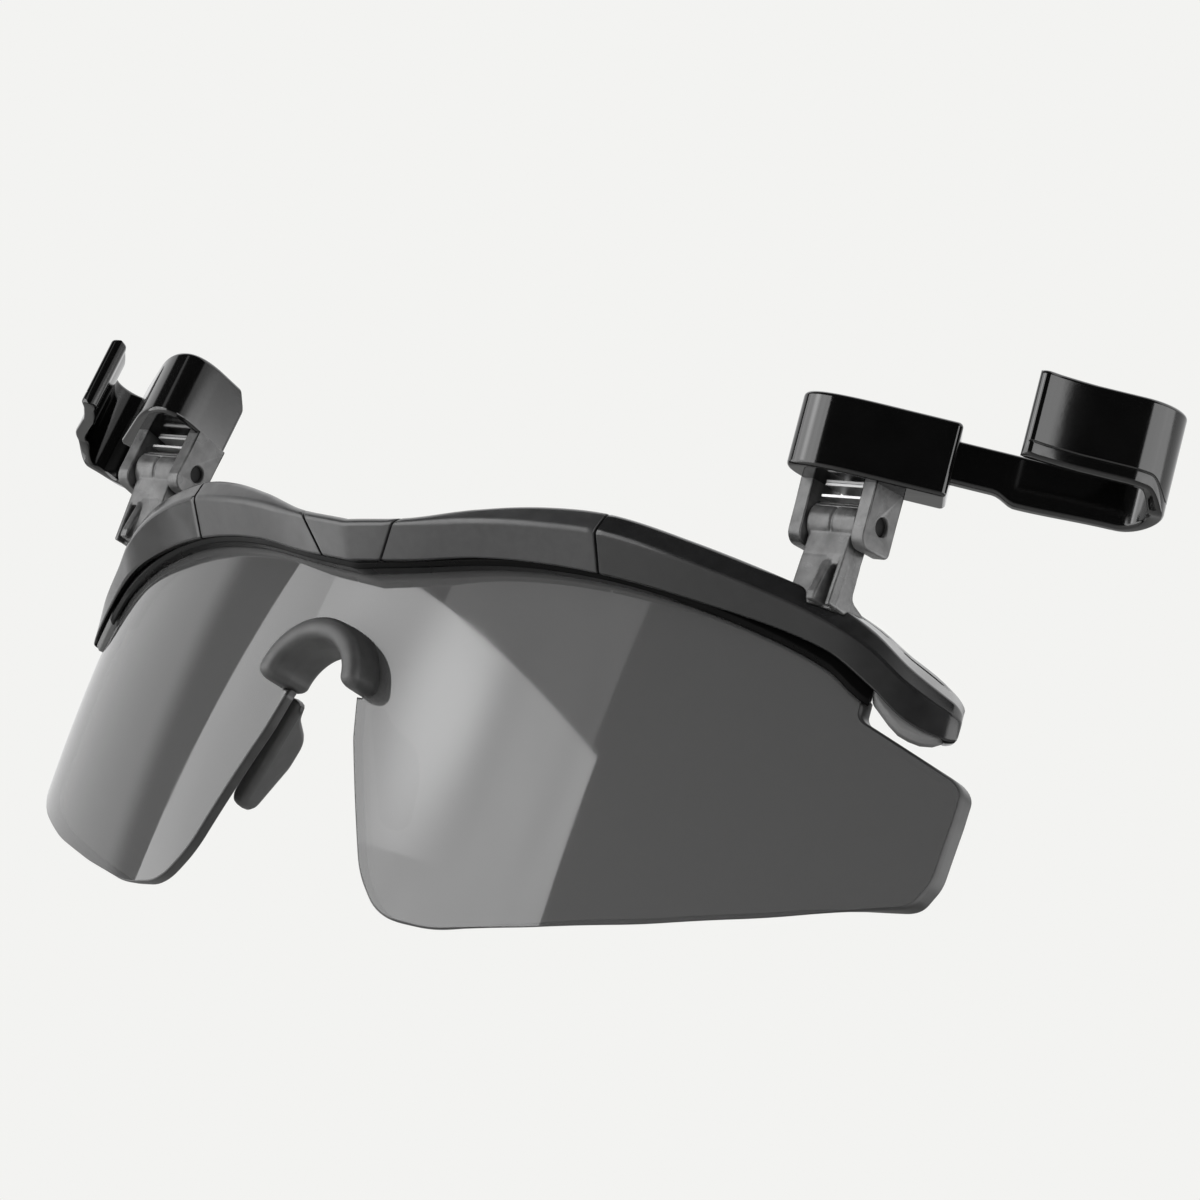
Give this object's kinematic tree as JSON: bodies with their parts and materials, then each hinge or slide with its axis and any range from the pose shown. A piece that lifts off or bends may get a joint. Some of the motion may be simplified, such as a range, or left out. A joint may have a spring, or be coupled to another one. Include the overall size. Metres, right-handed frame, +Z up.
{
  "type": "cap clip-on sunglasses",
  "caption": "Wrap-around shield sunglasses with a brow frame, flip-up clips on ribbed hinges, and sliding spring hooks that hold a cap's brim.",
  "frame": {"origin": "front face of the lens at the top of the nose cut-out, midway between the temples", "axes": "+X towards the wearer's left temple, +Y from the front of the lens to the face, +Z up the lens"},
  "size_m": [0.1816, 0.0419, 0.0801],
  "materials": {
    "lens": "smoke-tinted polished lens",
    "frame_black": "gloss black moulding",
    "cover_grey": "satin dark grey paint",
    "cover_dark": "satin to gloss dark grey paint",
    "tab_grey": "matte mid grey",
    "soft_black": "matte soft rubber",
    "post_grey": "slightly mottled grey moulding",
    "clip_black": "gloss black",
    "steel": "plated steel",
    "spring_steel": "bright spring steel"
  },
  "bodies": {
    "frame": {"lens_shield": "lens", "brow_frame": "frame_black", "centre_cover": "cover_grey", "inner_cover_left": "cover_grey", "inner_cover_right": "cover_grey", "outer_cover_left": "cover_dark", "outer_cover_right": "cover_dark", "temple_tab_left": "tab_grey", "temple_tab_right": "tab_grey", "nose_bridge": "soft_black", "nose_pad_left": "soft_black", "nose_pad_right": "soft_black", "hinge_post_left": "post_grey", "hinge_post_right": "post_grey", "post_screw_left": "steel", "post_screw_right": "steel"},
    "clip_left": {"clip_housing_left": "clip_black", "housing_cover_left": "clip_black", "cover_screws_left": "steel", "hinge_pin_left": "steel", "detent_spring_left": "spring_steel", "return_spring_left": "spring_steel", "travel_stop_left": "steel"},
    "hook_left": {"clip_hook_left": "clip_black"},
    "clip_right": {"clip_housing_right": "clip_black", "housing_cover_right": "clip_black", "cover_screws_right": "steel", "hinge_pin_right": "steel", "detent_spring_right": "spring_steel", "return_spring_right": "spring_steel", "travel_stop_right": "steel"},
    "hook_right": {"clip_hook_right": "clip_black"}
  },
  "joints": [
    {"name": "flip_left", "type": "hinge", "parent": "frame", "child": "clip_left", "pos_m": [0.057, 0.01532, 0.02831], "axis": [1, 0, 0], "range_deg": [-100.5, 9.5]},
    {"name": "hook_slide_left", "type": "slide", "parent": "clip_left", "child": "hook_left", "axis": [0.7986, 0.599, 0.0577], "range_m": [0, 0.006], "stiffness_N_per_m": 80, "springref_m": -0.004, "deforming": ["return_spring_left"]},
    {"name": "flip_right", "type": "hinge", "parent": "frame", "child": "clip_right", "pos_m": [-0.057, 0.01532, 0.02831], "axis": [1, 0, 0], "range_deg": [-87, 23]},
    {"name": "hook_slide_right", "type": "slide", "parent": "clip_right", "child": "hook_right", "axis": [-0.7986, 0.596, -0.0838], "range_m": [0, 0.006], "stiffness_N_per_m": 80, "springref_m": -0.004, "deforming": ["return_spring_right"]}
  ]
}
